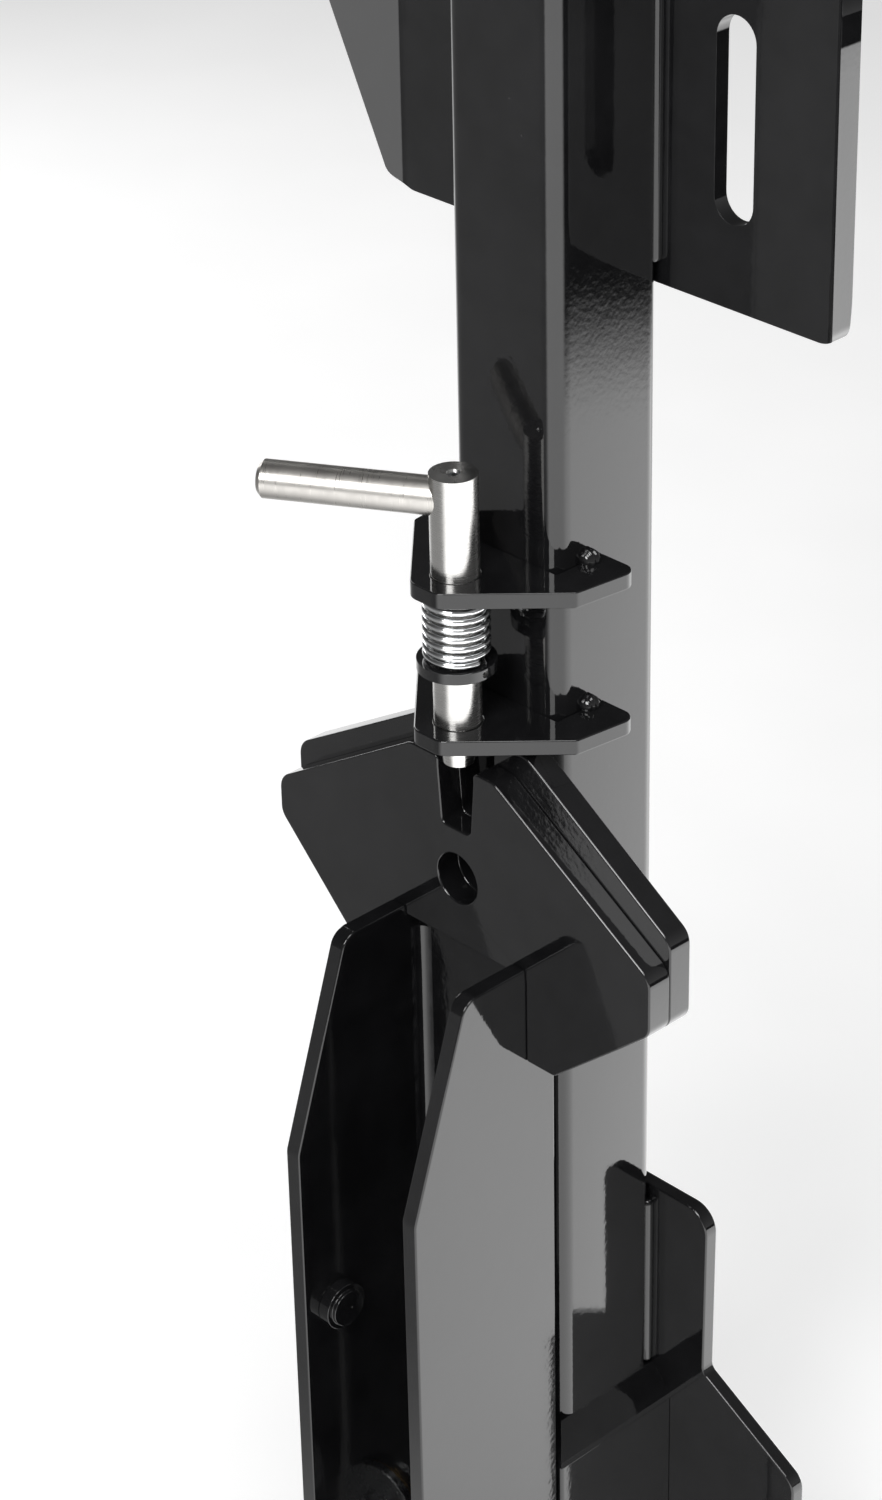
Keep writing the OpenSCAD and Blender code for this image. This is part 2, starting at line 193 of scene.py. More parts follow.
def effect(name: str, inputs: Sequence[Tuple[str, str, float]], outputs: Sequence[str],
           wire: Callable[[Graph, bpy.types.Node, bpy.types.Node], None]) -> bpy.types.NodeTree:
    """Builds a shared shader effect once.

    Args:
        name: the group's name.
        inputs: (name, Vector or Float, default) of each input.
        outputs: names of its value outputs.
        wire: fills the group, given its graph, input node and output node.

    Returns:
        The node group.
    """
    if name in EFFECTS:
        return EFFECTS[name]
    tree = bpy.data.node_groups.new(name, "ShaderNodeTree")
    for label, kind, default in inputs:
        socket = tree.interface.new_socket(name=label, in_out="INPUT", socket_type=f"NodeSocket{kind}")
        if kind == "Float":
            socket.default_value = default
    for label in outputs:
        tree.interface.new_socket(name=label, in_out="OUTPUT", socket_type="NodeSocketFloat")
    graph = Graph(tree)
    wire(graph, graph.add("NodeGroupInput"), graph.add("NodeGroupOutput"))
    EFFECTS[name] = tree
    return tree


def orange_peel() -> bpy.types.NodeTree:
    """The slow ripple of a sprayed powder coat, as a height from 0 to 1."""

    def wire(g: Graph, given: bpy.types.Node, out: bpy.types.Node) -> None:
        """Sums a broad ripple, a pebble and a fine grain."""
        vector, scale, fine = given.outputs[:3]
        broad = g.noise(vector, g.math("MULTIPLY", scale, 0.28), 1.0)
        pebble = g.noise(vector, scale, 1.5, 0.4)
        grain = g.noise(vector, g.math("MULTIPLY", scale, 3.7), 1.0)
        height = g.math("MULTIPLY_ADD", broad, 0.9)
        g.tree.nodes[-1].inputs[2].default_value = 0.0
        g.tree.links.new(pebble, g.tree.nodes[-1].inputs[2])
        g.feed(out.inputs["Height"], g.math("ADD", height, g.math("MULTIPLY", grain, fine)))

    return effect("orange_peel", [("Vector", "Vector", 0), ("Scale", "Float", 400.0), ("Fine", "Float", 0.1)],
                  ["Height"], wire)


def dust_specks() -> bpy.types.NodeTree:
    """Scattered fine specks, as a mask."""

    def wire(g: Graph, given: bpy.types.Node, out: bpy.types.Node) -> None:
        """Keeps the middles of a few cells."""
        vector, scale, share = given.outputs[:3]
        cells = g.add("ShaderNodeTexVoronoi")
        g.feed(cells.inputs["Vector"], vector)
        g.feed(cells.inputs["Scale"], scale)
        dots = g.spread(cells.outputs["Distance"], 0.16, 0.08)
        few = g.math("LESS_THAN", cells.outputs["Color"], share)
        g.feed(out.inputs["Mask"], g.math("MULTIPLY", dots, few))

    given = [("Vector", "Vector", 0), ("Scale", "Float", 300.0), ("Share", "Float", 0.05)]
    return effect("dust_specks", given, ["Mask"], wire)


def edge_wear_and_highlight() -> bpy.types.NodeTree:
    """Outer edges, as a mask broken up by noise: part thin finish, part painted edge highlight."""

    def wire(g: Graph, given: bpy.types.Node, out: bpy.types.Node) -> None:
        """Compares the rounded normal with the true one."""
        vector, reach, amount = given.outputs[:3]
        rounded = g.add("ShaderNodeBevel", samples=4)
        g.feed(rounded.inputs["Radius"], reach)
        dot = g.add("ShaderNodeVectorMath", operation="DOT_PRODUCT")
        g.feed(dot.inputs[0], rounded.outputs[0])
        g.feed(dot.inputs[1], g.add("ShaderNodeNewGeometry").outputs["Normal"])
        turn = g.spread(dot.outputs["Value"], 0.995, 0.80)
        broken = g.spread(g.noise(vector, 170.0, 3.0, 0.6), 0.42, 0.66)
        g.feed(out.inputs["Mask"], g.math("MULTIPLY", g.math("MULTIPLY", turn, broken), amount))

    return effect("edge_wear_and_highlight", [("Vector", "Vector", 0), ("Reach", "Float", 0.001), ("Amount", "Float", 0.5)],
                  ["Mask"], wire)


def tool_lines() -> bpy.types.NodeTree:
    """Fine rings a lathe or a drawing die leaves, stacked along the vector's Z."""

    def wire(g: Graph, given: bpy.types.Node, out: bpy.types.Node) -> None:
        """Stretches noise round the axis so that only Z matters."""
        vector, scale = given.outputs[:2]
        squeeze = g.add("ShaderNodeVectorMath", operation="MULTIPLY")
        g.feed(squeeze.inputs[0], vector)
        squeeze.inputs[1].default_value = (0.02, 0.02, 1.0)
        fine = g.noise(squeeze.outputs[0], scale, 3.0, 0.65)
        bands = g.noise(squeeze.outputs[0], g.math("MULTIPLY", scale, 0.09), 2.0)
        g.feed(out.inputs["Height"], fine)
        g.feed(out.inputs["Bands"], bands)

    return effect("tool_lines", [("Vector", "Vector", 0), ("Scale", "Float", 3000.0)],
                  ["Height", "Bands"], wire)


def blotches() -> bpy.types.NodeTree:
    """Slow uneven patches of a finish, from 0 to 1."""

    def wire(g: Graph, given: bpy.types.Node, out: bpy.types.Node) -> None:
        """Adds two sizes of patch."""
        vector, scale = given.outputs[:2]
        large = g.noise(vector, scale, 3.0, 0.6)
        small = g.noise(vector, g.math("MULTIPLY", scale, 5.3), 2.0)
        g.feed(out.inputs["Value"], g.spread(g.math("ADD", large, g.math("MULTIPLY", small, 0.5)), 0.5, 1.0))

    return effect("blotches", [("Vector", "Vector", 0), ("Scale", "Float", 20.0)], ["Value"], wire)


# ------------------------------------------------------------------ finishes


@dataclass(frozen=True)
class Finish:
    """A surface finish. Each kind lays out its own nodes in surface()."""

    name: str
    colour: Colour
    roughness: float
    metallic: float = 0.0
    ior: float = 1.5
    coat: float = 0.0
    coat_roughness: float = 0.03

    def build(self) -> bpy.types.Material:
        """Makes the material, or finds the one made before."""
        found = bpy.data.materials.get(f"finish_{self.name}")
        if found:
            return found
        material = bpy.data.materials.new(f"finish_{self.name}")
        material.use_nodes = True
        graph = Graph(material.node_tree)
        shader = material.node_tree.nodes["Principled BSDF"]
        shader.inputs["Metallic"].default_value = self.metallic
        shader.inputs["IOR"].default_value = self.ior
        shader.inputs["Coat Weight"].default_value = self.coat
        shader.inputs["Coat Roughness"].default_value = self.coat_roughness
        self.surface(graph, shader)
        return material

    def place(self, graph: Graph, turn: Grain = Grain.UPRIGHT) -> bpy.types.NodeSocket:
        """Gives the piece's own coordinates, turned so that the grain's axis is Z."""
        where = graph.add("ShaderNodeTexCoord").outputs["Object"]
        if turn is Grain.UPRIGHT:
            return where
        node = graph.add("ShaderNodeMapping", vector_type="TEXTURE")
        graph.feed(node.inputs["Vector"], where)
        node.inputs["Rotation"].default_value = turn.value
        return node.outputs[0]

    def bump(self, graph: Graph, shader: bpy.types.Node, height: object, depth: float) -> None:
        """Feeds a height through a Bump node into the shader's normal.

        Args:
            graph: the material's graph.
            shader: its Principled node.
            height: the height socket, from 0 to 1.
            depth: what 1 stands for, in metres.
        """
        node = graph.add("ShaderNodeBump")
        node.inputs["Strength"].default_value = 1.0
        node.inputs["Distance"].default_value = depth
        graph.feed(node.inputs["Height"], height)
        graph.feed(shader.inputs["Normal"], node.outputs[0])

    def surface(self, graph: Graph, shader: bpy.types.Node) -> None:
        """Lays out the colour, roughness and relief."""
        raise NotImplementedError


@dataclass(frozen=True)
class PowderCoat(Finish):
    """Gloss powder coat with orange peel, a little dust and lighter outer edges, part thin coat and part painted edge
    highlight.
    """

    peel: float = 430.0
    depth: float = 26e-6
    dust: float = 0.05

    def surface(self, graph: Graph, shader: bpy.types.Node) -> None:
        """Lays out the colour, roughness and relief."""
        where = self.place(graph)
        patch = graph.use(blotches(), Vector=where, Scale=16.0).outputs[0]
        specks = graph.use(dust_specks(), Vector=where, Scale=330.0, Share=self.dust).outputs[0]
        wear_and_highlight = graph.use(edge_wear_and_highlight(), Vector=where, Reach=0.0009, Amount=0.5).outputs[0]
        lighter = tuple(c * 1.8 + 0.002 for c in self.colour)
        tone = graph.blend(patch, self.colour, lighter)
        # lighter outer edges: part worn thin coat, part painted edge highlight
        tone = graph.blend(wear_and_highlight, tone, (0.035, 0.035, 0.037))
        tone = graph.blend(graph.math("MULTIPLY", specks, 0.35), tone, (0.32, 0.31, 0.30))
        graph.feed(shader.inputs["Base Color"], tone)
        rough = graph.spread(patch, 0.0, 1.0, self.roughness, self.roughness * 1.7)
        rough = graph.math("ADD", rough, graph.math("MULTIPLY", wear_and_highlight, 0.10))
        rough = graph.math("ADD", rough, graph.math("MULTIPLY", specks, 0.25))
        graph.feed(shader.inputs["Roughness"], rough)
        peel = graph.use(orange_peel(), Vector=where, Scale=self.peel, Fine=0.06).outputs[0]
        self.bump(graph, shader, peel, self.depth)


@dataclass(frozen=True)
class TurnedMetal(Finish):
    """Machined or drawn bare metal with fine rings round an axis."""

    grain: Grain = Grain.UPRIGHT
    pitch: float = 2600.0
    depth: float = 5e-6
    stain: float = 0.25

    def surface(self, graph: Graph, shader: bpy.types.Node) -> None:
        """Lays out the colour, roughness and relief."""
        where = self.place(graph, self.grain)
        rings = graph.use(tool_lines(), Vector=where, Scale=self.pitch)
        patch = graph.use(blotches(), Vector=where, Scale=45.0).outputs[0]
        wear_and_highlight = graph.use(edge_wear_and_highlight(), Vector=where, Reach=0.0008, Amount=0.8).outputs[0]
        dark = tuple(c * (1 - self.stain) for c in self.colour)
        tone = graph.blend(graph.spread(rings.outputs["Bands"], 0.35, 0.65), self.colour,
                           tuple(c * 0.93 for c in self.colour))
        tone = graph.blend(graph.math("MULTIPLY", patch, 0.55), tone, dark)
        # brighter outer edges: part wear, part painted edge highlight
        tone = graph.blend(graph.math("MULTIPLY", wear_and_highlight, 0.6), tone,
                           tuple(min(1.0, c * 1.12) for c in self.colour))
        graph.feed(shader.inputs["Base Color"], tone)
        rough = graph.spread(rings.outputs["Height"], 0.3, 0.7, self.roughness * 0.8, self.roughness * 1.25)
        rough = graph.math("ADD", rough, graph.math("MULTIPLY", patch, 0.08))
        graph.feed(shader.inputs["Roughness"], rough)
        self.bump(graph, shader, rings.outputs["Height"], self.depth)


@dataclass(frozen=True)
class PlatedMetal(Finish):
    """Bright zinc plate: a smooth skin with a faint cloud and pale handling marks."""

    cloud: float = 160.0
    depth: float = 4e-6

    def surface(self, graph: Graph, shader: bpy.types.Node) -> None:
        """Lays out the colour, roughness and relief."""
        where = self.place(graph)
        patch = graph.use(blotches(), Vector=where, Scale=self.cloud).outputs[0]
        marks = graph.use(dust_specks(), Vector=where, Scale=700.0, Share=0.10).outputs[0]
        tone = graph.blend(patch, self.colour, tuple(c * 0.80 for c in self.colour))
        tone = graph.blend(graph.math("MULTIPLY", marks, 0.5), tone, tuple(c * 0.55 for c in self.colour))
        graph.feed(shader.inputs["Base Color"], tone)
        graph.feed(shader.inputs["Roughness"],
                   graph.spread(patch, 0.0, 1.0, self.roughness, self.roughness * 1.9))
        self.bump(graph, shader, graph.noise(where, 900.0, 3.0, 0.6), self.depth)


@dataclass(frozen=True)
class MouldedPlastic(Finish):
    """Matt moulded plastic with a fine spark grain and lighter outer edges, part scuffing and part painted edge
    highlight.
    """

    grain_scale: float = 1500.0
    depth: float = 30e-6

    def surface(self, graph: Graph, shader: bpy.types.Node) -> None:
        """Lays out the colour, roughness and relief."""
        where = self.place(graph)
        patch = graph.use(blotches(), Vector=where, Scale=30.0).outputs[0]
        wear_and_highlight = graph.use(edge_wear_and_highlight(), Vector=where, Reach=0.0012, Amount=0.8).outputs[0]
        specks = graph.use(dust_specks(), Vector=where, Scale=420.0, Share=0.12).outputs[0]
        tone = graph.blend(patch, self.colour, tuple(c * 1.4 for c in self.colour))
        # lighter outer edges: part scuffing, part painted edge highlight
        tone = graph.blend(wear_and_highlight, tone, (0.09, 0.09, 0.092))
        tone = graph.blend(graph.math("MULTIPLY", specks, 0.4), tone, (0.30, 0.29, 0.27))
        graph.feed(shader.inputs["Base Color"], tone)
        rough = graph.spread(patch, 0.0, 1.0, self.roughness, self.roughness + 0.12)
        graph.feed(shader.inputs["Roughness"], rough)
        self.bump(graph, shader, graph.noise(where, self.grain_scale, 2.0, 0.6), self.depth)


POWDER = PowderCoat("gloss_black_powder", (0.0042, 0.0042, 0.0046), 0.045,
                    coat=0.35, ior=1.5, coat_roughness=0.02)
PIN_STEEL = TurnedMetal("turned_stainless", (0.76, 0.75, 0.73), 0.22, metallic=1.0)
BAR_STEEL = TurnedMetal("drawn_stainless_bar", (0.60, 0.58, 0.55), 0.27, metallic=1.0,
                        grain=Grain.HANDLE, pitch=1900.0)
WIRE_ZINC = PlatedMetal("bright_wire", (0.86, 0.87, 0.88), 0.085, metallic=1.0)
BOLT_ZINC = PlatedMetal("zinc_plate", (0.66, 0.67, 0.68), 0.19, metallic=1.0, cloud=110.0, depth=8e-6)
BOSS_STEEL = TurnedMetal("machined_steel", (0.47, 0.46, 0.45), 0.30, metallic=1.0,
                         grain=Grain.ACROSS, pitch=1700.0)
BUSH_BRONZE = TurnedMetal("bearing_bronze", (0.62, 0.40, 0.16), 0.28, metallic=1.0,
                          grain=Grain.ACROSS, pitch=2100.0)
CAP_PLASTIC = MouldedPlastic("moulded_cap", (0.016, 0.016, 0.017), 0.48)


# ------------------------------------------------------------------ edges and meshes


@dataclass(frozen=True)
class SoftEdges:
    """Rounds a plate's outer edges and smooths its curved faces, without touching its mesh."""

    radius: float = 0.0008
    segments: int = 3
    angle: float = 30.0

    def smoother(self) -> bpy.types.NodeTree:
        """Builds the geometry nodes that join doubled corners and shade by angle."""
        name = f"join_and_shade_{int(self.angle)}"
        if name in bpy.data.node_groups:
            return bpy.data.node_groups[name]
        tree = bpy.data.node_groups.new(name, "GeometryNodeTree")
        tree.interface.new_socket(name="Geometry", in_out="INPUT", socket_type="NodeSocketGeometry")
        tree.interface.new_socket(name="Geometry", in_out="OUTPUT", socket_type="NodeSocketGeometry")
        g = Graph(tree)
        given, out = g.add("NodeGroupInput"), g.add("NodeGroupOutput")
        join = g.add("GeometryNodeMergeByDistance")
        g.feed(join.inputs["Geometry"], given.outputs[0])
        g.feed(join.inputs["Distance"], 2e-6)
        bend = g.add("GeometryNodeInputMeshEdgeAngle").outputs[0]
        sharp = g.add("FunctionNodeCompare", data_type="FLOAT", operation="GREATER_THAN")
        g.feed(sharp.inputs[0], bend)
        g.feed(sharp.inputs[1], math.radians(self.angle))
        shade = g.add("GeometryNodeSetMeshNormal", mode="SHARPNESS")
        g.feed(shade.inputs["Mesh"], join.outputs[0])
        shade.inputs["Remove Custom"].default_value = True
        g.feed(shade.inputs["Edge Sharpness"], sharp.outputs[0])
        shade.inputs["Face Sharpness"].default_value = False
        g.feed(out.inputs[0], shade.outputs[0])
        return tree

    def apply(self, piece: bpy.types.Object) -> None:
        """Adds the modifiers to a piece.

        Args:
            piece: the object to round.
        """
        piece.modifiers.new("join", "NODES").node_group = self.smoother()
        flat = piece.modifiers.new("flat_faces", "DECIMATE")
        flat.decimate_type = "DISSOLVE"
        flat.angle_limit = math.radians(0.6)
        if self.radius > 0:
            edge = piece.modifiers.new("edges", "BEVEL")
            edge.width = self.radius
            edge.segments = self.segments
            edge.limit_method = "ANGLE"
            edge.angle_limit = math.radians(self.angle)
            edge.harden_normals = True
            edge.miter_outer = "MITER_ARC"
            edge.use_clamp_overlap = True


PLATE_EDGE = SoftEdges(0.0009, 3)
FINE_EDGE = SoftEdges(0.0004, 2)
NO_EDGE = SoftEdges(0.0, 1)


def dress(node: str, finish: Finish, edges: SoftEdges) -> bpy.types.Object:
    """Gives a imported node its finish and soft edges.

    Args:
        node: the node's name.
        finish: what it is coated with or made of.
        edges: how its edges are rounded.

    Returns:
        The node's object.
    """
    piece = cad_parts[node]
    material = finish.build()
    for slot in piece.material_slots:
        slot.material = material
    edges.apply(piece)
    LOG.info("dressed %s with %s", node, finish.name)
    return piece


def mesh_piece(name: str, points: Sequence[Point], faces: Sequence[Sequence[int]], finish: Finish) -> bpy.types.Object:
    """Makes a smooth shaded piece.

    Args:
        name: the piece's name.
        points: its corners in metres.
        faces: corner numbers of each face.
        finish: its finish.

    Returns:
        The new object, linked to the scene.
    """
    mesh = bpy.data.meshes.new(name)
    mesh.from_pydata(list(points), [], [list(f) for f in faces])
    mesh.shade_smooth()
    mesh.materials.append(finish.build())
    piece = bpy.data.objects.new(name, mesh)
    bpy.context.scene.collection.objects.link(piece)
    LOG.info("built %s with %d faces", name, len(faces))
    return piece


def tube(rings: Sequence[Sequence[Point]], first: int = 0) -> Tuple[List[Point], List[List[int]]]:
    """Skins a run of rings and closes both ends.

    Args:
        rings: rings of the same number of points.
        first: number of the first point.

    Returns:
        The points and the faces.
    """
    n = len(rings[0])
    points = [p for ring in rings for p in ring]
    faces = [[first + i * n + k, first + i * n + (k + 1) % n, first + (i + 1) * n + (k + 1) % n,
              first + (i + 1) * n + k] for i in range(len(rings) - 1) for k in range(n)]
    faces.append([first + k for k in range(n - 1, -1, -1)])
    faces.append([first + (len(rings) - 1) * n + k for k in range(n)])
    return points, faces


# ------------------------------------------------------------------ weld runs


@dataclass(frozen=True)
class WeldRun:
    """One hand laid weld bead along a straight corner."""

    start: Point
    end: Point
    radius: float
    ripple: float = 0.0017
    seed: int = 1

    def rings(self) -> List[List[Point]]:
        """Cuts the bead into rings that swell with each ripple and wander a little."""
        rng = random.Random(self.seed)
        a, b = Vector(self.start), Vector(self.end)
        along = (b - a).normalized()
        side = along.orthogonal().normalized()
        up = along.cross(side)
        length = (b - a).length
        steps = max(8, int(length / 0.00045))
        phase = [rng.uniform(0, 6.28) for _ in range(6)]
        rings = []
        for i in range(steps + 1):
            s = i / steps * length
            t = (s / self.ripple + 0.22 * math.sin(s * 420 + phase[0])) % 1.0
            lobe = 0.90 + 0.14 * math.sin(math.pi * min(1.0, t * 1.25)) ** 0.8
            slow = 1 + 0.07 * math.sin(s * 130 + phase[1]) + 0.05 * math.sin(s * 310 + phase[2])
            end = min(1.0, min(s, length - s) / (self.radius * 0.9) + 0.02)
            r = self.radius * lobe * slow * math.sqrt(1 - (1 - end) ** 2)
            centre = a + along * s + side * (0.00022 * math.sin(s * 210 + phase[3])) \
                + up * (0.00022 * math.sin(s * 170 + phase[4]))
            ring = []
            for k in range(20):
                c = 2 * math.pi * k / 20
                q = r * (1 + 0.035 * math.sin(3 * c + s * 900 + phase[5]))
                lean = along * (0.35 * r * lobe * math.cos(2 * c) * 0.25)
                ring.append(tuple(centre + side * q * math.cos(c) + up * q * math.sin(c) + lean))
            rings.append(ring)
        return rings


@dataclass
class WeldSet:
    """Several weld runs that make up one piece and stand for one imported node."""

    name: str
    node: str
    body: Body
    runs: List[WeldRun]
    drops: List[Tuple[Point, float]] = field(default_factory=list)

    def drop(self, centre: Point, radius: float, seed: int) -> List[List[Point]]:
        """Makes one spatter drop, a lumpy squashed ball."""
        rng = random.Random(seed)
        wob = [rng.uniform(0.8, 1.2) for _ in range(3)]
        rings = []
        for i in range(1, 10):
            v = math.pi * i / 10
            rings.append([(centre[0] + radius * wob[0] * math.sin(v) * math.cos(u),
                           centre[1] + radius * 0.6 * wob[1] * math.sin(v) * math.sin(u),
                           centre[2] + radius * wob[2] * math.cos(v))
                          for u in (2 * math.pi * k / 12 for k in range(12))])
        return rings

    def build(self) -> bpy.types.Object:
        """Builds the beads as one mesh and returns the piece."""
        points: List[Point] = []
        faces: List[List[int]] = []
        skins = [run.rings() for run in self.runs]
        skins += [self.drop(c, r, 40 + i) for i, (c, r) in enumerate(self.drops)]
        for rings in skins:
            more, skin = tube(rings, len(points))
            points += more
            faces += skin
        piece = mesh_piece(self.name, points, faces, POWDER)
        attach(piece, self.body.value)
        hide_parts(self.node)
        return piece


# ------------------------------------------------------------------ sub-assemblies


@dataclass
class Post:
    """The square post with its cap and the two wing plates welded behind it."""

    def build(self) -> List[bpy.types.Object]:
        """Dresses the tube, cap, plates and the hidden beads behind the post."""
        return [dress("post_tube", POWDER, FINE_EDGE), dress("post_cap", CAP_PLASTIC, FINE_EDGE),
                dress("upper_wing_plate", POWDER, PLATE_EDGE), dress("lower_wing_plate", POWDER, PLATE_EDGE),
                dress("wing_welds", POWDER, NO_EDGE)]


@dataclass
class PinBrackets:
    """The two yokes that guide the pin, with their rough weld runs."""

    front: float = -0.067
    undersides: Tuple[float, float] = (-0.190, -0.257)
    thick: float = 0.007
    half_run: float = 0.019
    bead: float = 0.0028
    bead_ripple: float = 0.0022
    side_x: float = 0.0306
    side_run: Tuple[float, float] = (-0.054, -0.045)
    side_bead: float = 0.0046
    side_ripple: float = 0.0026
    patch_bead: float = 0.0024
    drop_count: int = 26

    def under(self, z: float, seed: int) -> WeldRun:
        """Lays the run below a yoke, along the post's front."""
        y = self.front - 0.0006
        level = z - 0.0008
        return WeldRun((-self.half_run, y, level), (self.half_run, y, level),
                       self.bead, self.bead_ripple, seed)

    def beside(self, x: float, z: float, seed: int) -> WeldRun:
        """Lays the short run on top of a yoke, beside the post."""
        start, end = self.side_run
        level = z + self.thick + 0.001
        return WeldRun((x, start, level), (x, end, level), self.side_bead, self.side_ripple, seed)

    def spatter(self, z: float) -> List[Tuple[Point, float]]:
        """Scatters drops on the post's front, below the upper yoke."""
        rng = random.Random(7)
        drops = []
        for _ in range(self.drop_count):
            fall = rng.uniform(0.003, 0.021)
            drops.append(((rng.uniform(-0.010, 0.018 - 0.35 * fall), self.front, z - fall),
                          rng.uniform(0.0005, 0.0014)))
        return drops

    def build(self) -> List[bpy.types.Object]:
        """Dresses the yokes and lays the beads and spatter."""
        pieces = [dress(n, POWDER, PLATE_EDGE) for n in ("upper_pin_bracket", "lower_pin_bracket")]
        y = self.front - 0.0006
        upper, lower = self.undersides
        runs = [self.under(upper, 20),
                self.beside(-self.side_x, upper, 30), self.beside(self.side_x, upper, 31),
                WeldRun((0.006, y, upper - 0.0042), (0.0165, y, upper - 0.0030),
                        self.patch_bead, self.patch_bead, 25),
                self.under(lower, 21),
                self.beside(-self.side_x, lower, 32), self.beside(self.side_x, lower, 33)]
        weld = WeldSet("bracket_weld_beads", "bracket_welds", Body.POST, runs, self.spatter(upper))
        pieces.append(weld.build())
        return pieces


@dataclass
class Base:
    """The shroud at the foot of the post and the pivot in its front wall."""

    def build(self) -> List[bpy.types.Object]:
        """Dresses the sleeve, collar, end plate and pivot hardware."""
        pieces = [dress(n, POWDER, PLATE_EDGE) for n in ("base_sleeve", "sleeve_collar", "sleeve_end_plate")]
        pieces += [dress(n, BOSS_STEEL, FINE_EDGE) for n in ("pivot_boss", "pivot_thrust_washer")]
        pieces += [dress(n, BOLT_ZINC, FINE_EDGE) for n in ("pivot_retaining_washer", "pivot_bolt")]
        return pieces


@dataclass
class LockHead:
    """The two notched plates on their cheeks and web, with the bush, studs and fillets."""

    def build(self) -> List[bpy.types.Object]:
        """Dresses every piece of the head."""
        plates = ("front_lock_plate", "rear_lock_plate", "left_cheek", "right_cheek", "cheek_web")
        pieces = [dress(n, POWDER, PLATE_EDGE) for n in plates]
        pieces.append(dress("rest_studs", POWDER, FINE_EDGE))
        pieces.append(dress("head_welds", POWDER, NO_EDGE))
        pieces.append(dress("pivot_bush", BUSH_BRONZE, FINE_EDGE))
        return pieces


@dataclass
class CoilSpring:
    """The pin's compression spring: round wire, closed and ground at both ends."""

    axis_y: float = -0.094
    top: float = -0.190
    bottom: float = -0.2205
    outside: float = 0.028
    wire: float = 0.003
    turns: float = 7.0
    dead: float = 0.75
    steps: int = 72
    sides: int = 20

    def height(self, t: float) -> float:
        """Gives the height of the wire's middle after t turns."""
        low, high = self.bottom + self.wire / 2 + 0.0001, self.top - self.wire / 2 - 0.0001
        close = self.wire + 0.00005
        pitch = (high - low - 2 * self.dead * close) / (self.turns - 2 * self.dead)
        if t < self.dead:
            return low + t * close
        if t > self.turns - self.dead:
            return high - (self.turns - t) * close
        return low + self.dead * close + (t - self.dead) * pitch

    def build(self) -> bpy.types.Object:
        """Winds the wire between the bracket and the collar."""
        r, w = (self.outside - self.wire) / 2, self.wire / 2
        total = int(self.turns * self.steps)
        rings = []
        for i in range(total + 1):
            t = i / self.steps
            a, z = -2 * math.pi * t, self.height(t)
            ring = []
            for k in range(self.sides):
                b = 2 * math.pi * k / self.sides
                q = r + w * math.cos(b)
                level = min(max(z + w * math.sin(b), self.bottom + 0.0001), self.top - 0.0001)
                ring.append((q * math.cos(a), self.axis_y + q * math.sin(a), level))
            rings.append(ring)
        points, faces = tube(rings)
        piece = mesh_piece("coil_spring", points, faces, WIRE_ZINC)
        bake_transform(piece)
        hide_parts("lock_spring")
        return piece


@dataclass
class PullPin:
    """The turned pin with its handle, collar and spring."""

    spring: CoilSpring = field(default_factory=CoilSpring)

    def build(self) -> List[bpy.types.Object]:
        """Dresses the pin, handle and collar and winds the spring."""
        return [dress("lock_pin", PIN_STEEL, FINE_EDGE), dress("pull_handle", BAR_STEEL, FINE_EDGE),
                dress("handle_screw", BOLT_ZINC, NO_EDGE), dress("spring_collar", POWDER, FINE_EDGE),
                dress("collar_roll_pin", BOSS_STEEL, NO_EDGE), self.spring.build()]


# ------------------------------------------------------------------ studio


@dataclass(frozen=True)
class SoftBox:
    """One soft rectangular light that faces a point."""

    name: str
    place: Point
    target: Point
    size: Tuple[float, float]
    power: float

    def build(self) -> bpy.types.Object:
        """Makes the light and turns it to its target."""
        lamp = bpy.data.lights.new(self.name, "AREA")
        lamp.shape = "RECTANGLE"
        lamp.size, lamp.size_y = self.size
        lamp.energy = self.power
        piece = bpy.data.objects.new(self.name, lamp)
        piece.location = self.place
        piece.rotation_euler = (Vector(self.target) - Vector(self.place)).to_track_quat("-Z", "Y").to_euler()
        bpy.context.scene.collection.objects.link(piece)
        return piece


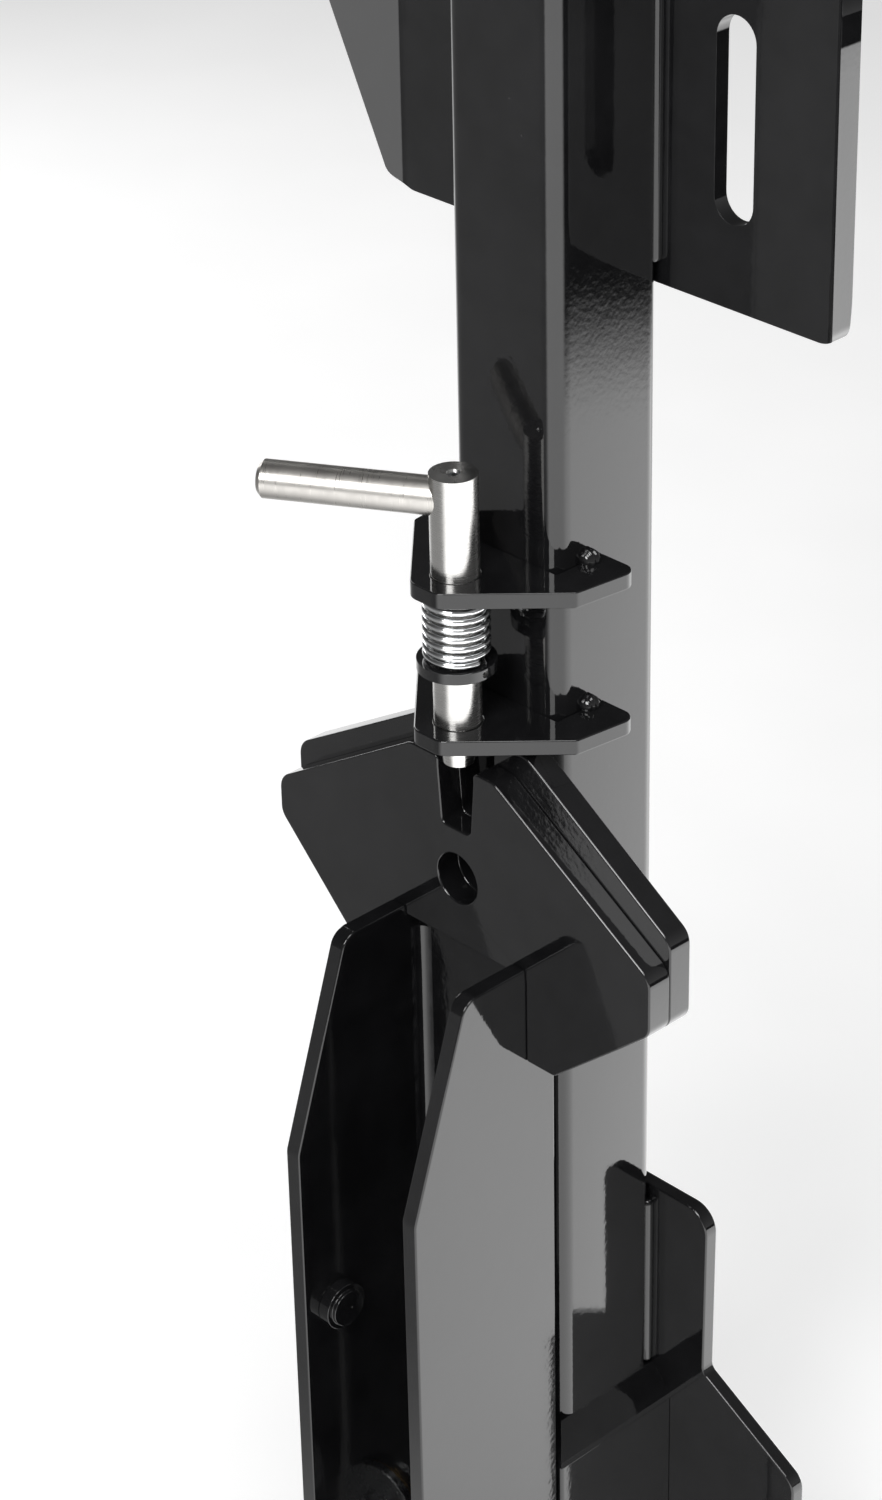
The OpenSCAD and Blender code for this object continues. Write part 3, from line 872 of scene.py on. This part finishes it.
@dataclass
class Studio:
    """Pale floor, soft light and the camera."""

    floor_z: float = -0.7605
    floor_size: float = 16.0
    boxes: Tuple[SoftBox, ...] = (
        SoftBox("key_box", (0.9, -0.6, 2.0), (0.0, -0.05, -0.3), (1.2, 1.2), 26.0),
        SoftBox("left_box", (-1.9, 0.5, 0.5), (0.0, -0.05, -0.3), (0.7, 1.6), 14.0),
        SoftBox("front_box", (0.5, -1.5, 0.9), (0.0, -0.1, -0.3), (0.8, 0.8), 24.0),
    )

    def floor(self) -> bpy.types.Object:
        """Lays the floor."""
        h = self.floor_size / 2
        mesh = bpy.data.meshes.new("studio_floor")
        mesh.from_pydata([(-h, -h, self.floor_z), (h, -h, self.floor_z), (h, h, self.floor_z),
                          (-h, h, self.floor_z)], [], [[0, 1, 2, 3]])
        mesh.materials.append(self.paper())
        piece = bpy.data.objects.new("studio_floor", mesh)
        bpy.context.scene.collection.objects.link(piece)
        return piece

    def paper(self) -> bpy.types.Material:
        """Pale paper, mirrored bright to the right and dark to the front left."""
        material = bpy.data.materials.new("studio_paper")
        material.use_nodes = True
        g = Graph(material.node_tree)
        shader = material.node_tree.nodes["Principled BSDF"]
        place = g.add("ShaderNodeNewGeometry").outputs["Position"]
        tone = g.spread(g.noise(place, 6.0, 2.0), 0.3, 0.7, 0.80, 0.84)
        paper = g.add("ShaderNodeCombineColor")
        for socket in paper.inputs[:3]:
            g.feed(socket, tone)
        g.feed(shader.inputs["Base Color"], paper.outputs[0])
        shader.inputs["Roughness"].default_value = 0.9
        shader.inputs["Specular IOR Level"].default_value = 0.1
        at = g.add("ShaderNodeSeparateXYZ")
        g.feed(at.inputs[0], place)
        x, y = at.outputs[0], at.outputs[1]
        right = g.spread(x, -0.25, 0.25, smooth=True)
        behind = g.spread(y, -0.30, 0.30, smooth=True)
        reach = g.math("SQRT", g.math("ADD", g.math("MULTIPLY", x, x), g.math("MULTIPLY", y, y)))
        near = g.spread(reach, 1.62, 1.34, smooth=True)
        back_right = g.math("MULTIPLY", g.math("MULTIPLY", right, behind), near)
        front_right = g.math("MULTIPLY", right, g.math("SUBTRACT", 1.0, behind))
        back_left = g.math("MULTIPLY", g.math("SUBTRACT", 1.0, right), behind)
        front_left = g.math("MULTIPLY", g.math("SUBTRACT", 1.0, right), g.math("SUBTRACT", 1.0, behind))
        glow = g.math("ADD", g.math("ADD", g.math("MULTIPLY", back_right, 2.6),
                                    g.math("MULTIPLY", front_right, 2.0)),
                      g.math("ADD", g.math("MULTIPLY", back_left, 1.0), g.math("MULTIPLY", front_left, 0.30)))
        lamp = g.add("ShaderNodeEmission")
        g.feed(lamp.inputs["Strength"], g.math("ADD", glow, 0.02))
        lit = g.add("ShaderNodeEmission")
        lit.inputs["Strength"].default_value = 0.42
        seen = g.add("ShaderNodeAddShader")
        g.feed(seen.inputs[0], shader.outputs[0])
        g.feed(seen.inputs[1], lit.outputs[0])
        mix = g.add("ShaderNodeMixShader")
        g.feed(mix.inputs[0], g.add("ShaderNodeLightPath").outputs["Is Glossy Ray"])
        g.feed(mix.inputs[1], seen.outputs[0])
        g.feed(mix.inputs[2], lamp.outputs[0])
        g.feed(material.node_tree.nodes["Material Output"].inputs[0], mix.outputs[0])
        return material

    def surroundings(self) -> None:
        """Gives the room: pale to look at, dim in reflections."""
        world = bpy.data.worlds.new("studio")
        bpy.context.scene.world = world
        world.use_nodes = True
        g = Graph(world.node_tree)
        seen = world.node_tree.nodes["Background"]
        seen.inputs["Color"].default_value = (0.90, 0.90, 0.90, 1)
        dim = g.add("ShaderNodeBackground")
        way = g.add("ShaderNodeSeparateXYZ")
        g.feed(way.inputs[0], g.add("ShaderNodeTexCoord").outputs["Generated"])
        side = g.spread(way.outputs[0], -0.9, 0.9, 0.10, 0.55, smooth=True)
        height = g.spread(way.outputs[2], 0.0, 0.7, 1.0, 0.45)
        g.feed(dim.inputs["Strength"], g.math("MULTIPLY", side, height))
        mix = g.add("ShaderNodeMixShader")
        g.feed(mix.inputs[0], g.add("ShaderNodeLightPath").outputs["Is Camera Ray"])
        g.feed(mix.inputs[1], dim.outputs[0])
        g.feed(mix.inputs[2], seen.outputs[0])
        g.feed(world.node_tree.nodes["World Output"].inputs[0], mix.outputs[0])

    def camera(self) -> bpy.types.Object:
        """Sets the camera, a long lens above and to the right of the front."""
        lens = bpy.data.cameras.new("camera")
        lens.sensor_fit = "AUTO"
        lens.sensor_width = 36.0
        lens.lens = 94.92
        lens.clip_start, lens.clip_end = 0.05, 60.0
        right, down, ahead = (Vector(v).normalized() for v in (
            (0.69353, 0.72017, -0.01941), (0.34812, -0.35859, -0.86615), (-0.63074, 0.59395, -0.49940)))
        turn = Matrix((right, -down, -ahead)).transposed().to_4x4()
        piece = bpy.data.objects.new("camera", lens)
        piece.matrix_world = Matrix.Translation((1.01294, -1.05779, 0.54193)) @ turn
        bpy.context.scene.collection.objects.link(piece)
        bpy.context.scene.camera = piece
        return piece

    def build(self) -> None:
        """Sets the camera, floor, room and lights."""
        self.camera()
        self.floor()
        self.surroundings()
        for box in self.boxes:
            box.build()
        bpy.context.scene.view_settings.view_transform = "Standard"


def main() -> None:
    """Builds the studio and every sub-assembly in order."""
    logging.basicConfig(level=logging.INFO, format="%(name)s: %(message)s")
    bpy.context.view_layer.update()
    Studio().build()
    for assembly in (Post(), PinBrackets(), Base(), LockHead(), PullPin()):
        pieces = assembly.build()
        LOG.info("%s: %d pieces", type(assembly).__name__, len(pieces))


if __name__ == "__main__":
    main()
